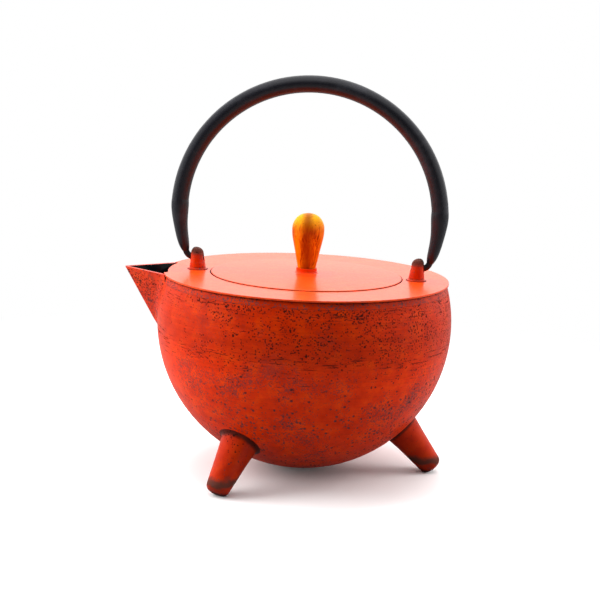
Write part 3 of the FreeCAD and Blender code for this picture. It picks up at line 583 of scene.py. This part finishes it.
def foot(name, node, turn):
    # turned profile with a fillet that lands on the bowl, cut flat where it stands
    look = castFoot
    splay = math.radians(look["splay"])
    core = look["tipRadius"] - look["tipRound"]
    slope = math.tan(math.radians(look["taper"]))
    reach = look["tipRound"] * math.sin(splay) + core * math.cos(splay)
    sink = look["tipRound"] * (1 - math.cos(splay)) + core * math.sin(splay) - look["grind"]
    toWorld = (Matrix.Rotation(math.radians(turn), 4,
            "Z") @ Matrix.Translation(((look["circle"] + reach) * mm, 0, sink * mm))
               @ Matrix.Rotation(-splay, 4, "Y"))
    centre = toWorld.inverted() @ bowlCentre
    root = (centre.z - bowlRadius) / mm
    outline = [(0.0, 0.0), (core, 0.0)]
    for step in range(1, 7):
        a = math.radians(90 - look["taper"]) * step / 6
        outline.append((core + look["tipRound"] * math.sin(a), look["tipRound"] * (1 - math.cos(a))))
    startRadius, startHeight = outline[-1]
    rootRadius = startRadius + slope * (root - startHeight)
    for share in (0.25, 0.5, 0.75):
        height = startHeight + share * (root - look["fillet"] - startHeight)
        outline.append((startRadius + slope * (height - startHeight), height))
    filletFrom = len(outline)
    steps = 7
    for step in range(steps + 1):
        a = math.radians(90) * step / steps
        outline.append((rootRadius + look["fillet"] * (1 - math.cos(a)),
                root - look["fillet"] * (1 - math.sin(a))))
    bm = bmesh.new()
    chain = [bm.verts.new((r * mm, 0, z * mm)) for r, z in outline]
    for low, high in zip(chain, chain[1:]):
        bm.edges.new((low, high))
    bmesh.ops.spin(bm, geom=bm.verts[:] + bm.edges[:], angle=math.tau, steps=look["around"],
            axis=(0, 0, 1), cent=(0, 0, 0), use_merge=True)
    bmesh.ops.remove_doubles(bm, verts=bm.verts[:], dist=1e-6)
    # each ring of the fillet keeps its distance from the bowl's surface
    for vert in bm.verts:
        lift = root * mm - vert.co.z
        if vert.co.z > outline[filletFrom][1] * mm - 1e-7:
            aside = Vector((vert.co.x - centre.x, vert.co.y - centre.y))
            shell = bowlRadius + lift - 0.04 * mm
            vert.co.z = centre.z - math.sqrt(shell ** 2 - aside.length_squared)
    bmesh.ops.transform(bm, matrix=toWorld, verts=bm.verts[:])
    cut = bmesh.ops.bisect_plane(bm, geom=bm.verts[:] + bm.edges[:] + bm.faces[:], plane_co=(0, 0, 0),
            plane_no=(0, 0, -1), clear_outer=True)
    rim = [e for e in cut["geom_cut"] if isinstance(e, bmesh.types.BMEdge)]
    bmesh.ops.edgeloop_fill(bm, edges=rim)
    bmesh.ops.recalc_face_normals(bm, faces=bm.faces[:])
    newPiece(name, bm, "pot", "painted_iron", "foot", node)


foot("footRear", "foot_rear", 0)
foot("footFrontRight", "foot_front_right", 120)
foot("footFrontLeft", "foot_front_left", 240)
print("feet made")

castLug = {"inner": 53.79, "outer": 62.39, "halfWidth": 4.8, "height": 11.6, "innerLean": 2.0,
        "outerLean": 0.8,
           "corner": 4.1, "fillet": 1.3, "crown": 2.9, "draft": 0.6, "pivot": 6.35, "bore": 2.15,
           "flare": 1.1}


def lug(name, node, side):
    look = castLug
    bm = bmesh.new()
    bmesh.ops.create_grid(bm, x_segments=1, y_segments=1, size=0.5)
    depth = look["outer"] - look["inner"]
    bmesh.ops.transform(bm, matrix=Matrix.Diagonal((depth, 2 * look["halfWidth"], 1, 1)), verts=bm.verts[:])
    bmesh.ops.bevel(bm, geom=bm.verts[:], affect="VERTICES", offset=look["corner"], segments=9,
            profile=0.5, material=-1)
    bmesh.ops.translate(bm, vec=((look["outer"] + look["inner"]) / 2, 0, 0), verts=bm.verts[:])
    # levels up the lug: height, then how far each side has moved in
    levels = []
    for step in range(7):
        a = math.radians(90) * step / 6
        grow = look["fillet"] * (1 - math.sin(a))
        levels.append((look["fillet"] * (1 - math.cos(a)), -grow, -grow, -grow))
    start = look["height"] - look["crown"]
    for share in (0.35, 0.7):
        levels.append((look["fillet"] + share * (start - look["fillet"]), 0, 0, 0))
    for step in range(9):
        a = math.radians(90) * step / 8
        inset = look["crown"] * (1 - math.cos(a))
        levels.append((start + look["crown"] * math.sin(a), 1.05 * inset, 0.62 * inset, 1.15 * inset))
    face = bm.faces[:][0]
    middle = 58.09                             # mm from the axis to the middle of the lug
    first = {v: v.co.copy() for v in face.verts}
    place = [first[v] for v in face.verts]
    for number, (height, fromInner, fromOuter, fromSides) in enumerate(levels):
        if number:
            made = bmesh.ops.extrude_face_region(bm, geom=[face])
            face = [g for g in made["geom"] if isinstance(g, bmesh.types.BMFace)][0]
        share = height / look["height"]
        low = look["inner"] + look["innerLean"] * share + fromInner
        high = look["outer"] - look["outerLean"] * share - fromOuter
        half = look["halfWidth"] - look["draft"] * share - fromSides
        for vert, was in zip(sorted(face.verts, key=lambda v: math.atan2(v.co.y, v.co.x - middle)),
                sorted(place, key=lambda p: math.atan2(p.y, p.x - middle))):
            vert.co = Vector((low + (was.x - look["inner"]) / depth * (high - low),
                    was.y / look["halfWidth"] * half, height))
    bmesh.ops.recalc_face_normals(bm, faces=bm.faces[:])
    turnRound = Matrix.Rotation(math.pi if side < 0 else 0, 4, "Z")
    toPot = Matrix.Translation((0, 0, topZ - 0.02 * mm)) @ turnRound @ Matrix.Diagonal((mm, mm, mm, 1))
    bmesh.ops.transform(bm, matrix=toPot, verts=bm.verts[:])
    piece = newPiece(name, bm, "pot", "painted_iron", "lug", node)
    # the bore, flared towards the bail
    cutter = bmesh.new()
    faceX = look["outer"] - look["outerLean"] * look["pivot"] / look["height"]
    bmesh.ops.create_cone(cutter, cap_ends=True, segments=48, radius1=look["bore"], radius2=look["bore"],
            depth=20)
    bmesh.ops.create_cone(cutter, cap_ends=True, segments=48, radius1=look["bore"] - 0.05,
            radius2=look["bore"] + 3 * look["flare"], depth=3 * look["flare"],
                          matrix=Matrix.Translation((0, 0, faceX - middle + 0.5 * look["flare"])))
    along = Matrix.Translation((middle, 0, look["pivot"])) @ Matrix.Rotation(math.radians(90), 4, "Y")
    bmesh.ops.transform(cutter, matrix=toPot @ along, verts=cutter.verts[:])
    mesh = bpy.data.meshes.new("boreCutter")
    cutter.to_mesh(mesh)
    cutter.free()
    tool = bpy.data.objects.new("boreCutter", mesh)
    bpy.context.scene.collection.objects.link(tool)
    bore = piece.modifiers.new("bore", "BOOLEAN")
    bore.object = tool
    bore.solver = "EXACT"
    bore.use_self = True
    bpy.context.view_layer.update()
    bored = bpy.data.meshes.new_from_object(piece.evaluated_get(bpy.context.evaluated_depsgraph_get()))
    piece.modifiers.clear()
    piece.data = bored
    bpy.data.objects.remove(tool)


lug("lugSpoutSide", "lug_spout_side", -1)
lug("lugRearSide", "lug_rear_side", 1)
print("lugs made")

weave = {"pitch": 1.3, "wire": 0.17, "wall": 42.79, "low": 48.9, "high": 98.9, "base": 48.6,
        "baseRadius": 42.4}  # real mesh is finer than 1 mm


def wires(name, paths, closed, node):
    # round wires along zigzag paths, made one mesh
    curve = bpy.data.curves.new(name, "CURVE")
    curve.dimensions = "3D"
    curve.bevel_depth = weave["wire"] * mm
    curve.bevel_resolution = 0
    curve.use_fill_caps = not closed
    for path in paths:
        spline = curve.splines.new("POLY")
        spline.points.add(len(path) - 1)
        for point, (x, y, z) in zip(spline.points, path):
            point.co = (x * mm, y * mm, z * mm, 1)
        spline.use_cyclic_u = closed
    holder = bpy.data.objects.new(name + "Curve", curve)
    bpy.context.scene.collection.objects.link(holder)
    bpy.context.view_layer.update()
    bm = bmesh.new()
    mesh = bpy.data.meshes.new_from_object(holder.evaluated_get(bpy.context.evaluated_depsgraph_get()))
    bm.from_mesh(mesh)
    bpy.data.objects.remove(holder)
    return newPiece(name, bm, "infuser", "stainless_mesh", "wovenStainless", node)


def infuserMesh():
    pitch, swing = weave["pitch"], weave["wire"] * 0.95
    around = 2 * round(math.pi * weave["wall"] / pitch)
    rows = int((weave["high"] - weave["low"]) / pitch)
    upright, hoops = [], []
    for i in range(around):
        a = math.tau * i / around
        upright.append([((weave["wall"] + swing * (1 - 2 * ((i + j) % 2))) * math.cos(a),
                (weave["wall"] + swing * (1 - 2 * ((i + j) % 2))) * math.sin(a),
                         weave["low"] + pitch * j) for j in range(rows + 1)])
    for j in range(rows + 1):
        hoops.append([((weave["wall"] - swing * (1 - 2 * ((i + j) % 2))) * math.cos(math.tau * i / around),
                       (weave["wall"] - swing * (1 - 2 * ((i + j) % 2))) * math.sin(math.tau * i / around),
                       weave["low"] + pitch * j) for i in range(around)])
    wires("infuserWallWarp", upright, False, "infuser_mesh_wall")
    wires("infuserWallWeft", hoops, True, "infuser_mesh_wall")
    half = int(weave["baseRadius"] / pitch)
    for name, turned in (("infuserBaseWarp", False), ("infuserBaseWeft", True)):
        paths = []
        for i in range(-half, half + 1):
            run = int(math.sqrt(weave["baseRadius"] ** 2 - (i * pitch) ** 2) / pitch)
            sign = -1 if turned else 1
            path = [(i * pitch, j * pitch, weave["base"] + sign * swing * (1 - 2 * ((i + j) % 2))) for j in range(-run, run + 1)]
            if run > 0:
                paths.append([(y, x, z) for x, y, z in path] if turned else path)
        wires(name, paths, False, "infuser_mesh_base")


infuserMesh()
print("infuser mesh woven")

studio = {
    "side": 1.15, "back": 1.5, "top": 1.6, "front": 0.05,   # strength of the soft surroundings by direction
    "floorBounce": 0.28, "paper": "FAFAFA",
}


def world():
    data = bpy.data.worlds.new("studio")
    bpy.context.scene.world = data
    data.use_nodes = True
    tree = data.node_tree
    tree.nodes.clear()
    way = add(tree, "ShaderNodeTexCoord").outputs["Generated"]
    axis = add(tree, "ShaderNodeSeparateXYZ", Vector=way)
    across = add(tree, "ShaderNodeMath", {"operation": "ABSOLUTE"}, i0=axis.outputs["X"]).outputs[0]
    total = None
    for source, low, high, power in ((across, 0.5, 0.95, "side"), (axis.outputs["Y"], 0.0, 0.8, "back"),
            (axis.outputs["Z"], 0.45, 0.95, "top")):
        part = add(tree, "ShaderNodeMapRange", {"interpolation_type": "SMOOTHSTEP"}, Value=source, i1=low,
                i2=high, i3=0.0, i4=studio[power]).outputs[0]
        total = part if total is None else add(tree, "ShaderNodeMath", {"operation": "MAXIMUM"}, i0=total,
                i1=part).outputs[0]
    total = add(tree, "ShaderNodeMath", {"operation": "MAXIMUM"}, i0=total, i1=studio["front"]).outputs[0]
    seen = add(tree, "ShaderNodeLightPath").outputs["Is Camera Ray"]
    total = add(tree, "ShaderNodeMix", i0=seen, i2=total, i3=1.0).outputs[0]
    light = add(tree, "ShaderNodeBackground", Color=(1, 1, 1, 1), Strength=total)
    add(tree, "ShaderNodeOutputWorld", Surface=light.outputs[0])


def floor():
    bm = bmesh.new()
    bmesh.ops.create_circle(bm, cap_ends=True, segments=96, radius=3.0)
    mesh = bpy.data.meshes.new("floor")
    bm.to_mesh(mesh)
    bm.free()
    obj = bpy.data.objects.new("floor", mesh)
    bpy.context.scene.collection.objects.link(obj)
    material, tree = newTree("palePaperFloor")
    seen = add(tree, "ShaderNodeLightPath").outputs["Is Camera Ray"]
    shade = studio["floorBounce"]
    tint = add(tree, "ShaderNodeMix", {"data_type": "RGBA"}, i0=seen, i6=(shade, shade, shade, 1),
            i7=linear(studio["paper"])).outputs[2]
    paper = add(tree, "ShaderNodeBsdfDiffuse", Color=tint).outputs[0]
    # the paper melts into the white surroundings away from the pot
    place = add(tree, "ShaderNodeTexCoord").outputs["Object"]
    away = add(tree, "ShaderNodeVectorMath", {"operation": "LENGTH"}, i0=place).outputs["Value"]
    far = add(tree, "ShaderNodeMapRange", {"interpolation_type": "SMOOTHSTEP"}, Value=away, i1=0.14,
            i2=0.42).outputs[0]
    far = add(tree, "ShaderNodeMath", {"operation": "MULTIPLY"}, i0=far, i1=seen).outputs[0]
    white = add(tree, "ShaderNodeEmission", Color=(1, 1, 1, 1), Strength=1.0).outputs[0]
    blend = add(tree, "ShaderNodeMixShader", i0=far, i1=paper, i2=white).outputs[0]
    add(tree, "ShaderNodeOutputMaterial", Surface=blend)
    mesh.materials.append(material)


lamps = {
    "leftSoftbox": {"place": (-0.62, -0.05, 0.34), "aim": (0, 0, 0.09), "size": (0.5, 0.6), "watts": 5.6},
    "rightSoftbox": {"place": (0.66, 0.16, 0.30), "aim": (0, 0, 0.09), "size": (0.35, 0.6), "watts": 2.9},
    "topSoftbox": {"place": (-0.05, 0.12, 0.75), "aim": (0, 0, 0.1), "size": (0.5, 0.5), "watts": 4.5},
}


def light(name):
    look = lamps[name]
    data = bpy.data.lights.new(name, "AREA")
    data.shape = "RECTANGLE"
    data.size, data.size_y = look["size"]
    data.energy = look["watts"]
    obj = bpy.data.objects.new(name, data)
    aim = (Vector(look["aim"]) - Vector(look["place"])).to_track_quat("-Z", "Y")
    obj.matrix_world = Matrix.Translation(look["place"]) @ aim.to_matrix().to_4x4()
    obj.visible_camera = False
    obj.visible_glossy = False   # the softboxes are not mirrored in the clear-coated top
    bpy.context.scene.collection.objects.link(obj)


view = {
    "place": (0.0403, -0.6588, 0.2139),
    "heading": 3.74,      # degrees, from looking along +Y towards -X
    "down": 10.61,
    "roll": 2.49,
    "lens": 75.67,
}


def camera():
    data = bpy.data.cameras.new("camera")
    data.lens = view["lens"]
    data.sensor_width = 36.0
    obj = bpy.data.objects.new("camera", data)
    turn = (Matrix.Rotation(math.radians(view["heading"]), 4, "Z")
            @ Matrix.Rotation(math.radians(90 - view["down"]), 4, "X")
            @ Matrix.Rotation(math.radians(view["roll"]), 4, "Z"))
    obj.matrix_world = Matrix.Translation(view["place"]) @ turn
    bpy.context.scene.collection.objects.link(obj)
    bpy.context.scene.camera = obj


floor()
world()
for name in lamps:
    light(name)
camera()
bpy.context.scene.view_settings.view_transform = "Standard"
print("stage set")
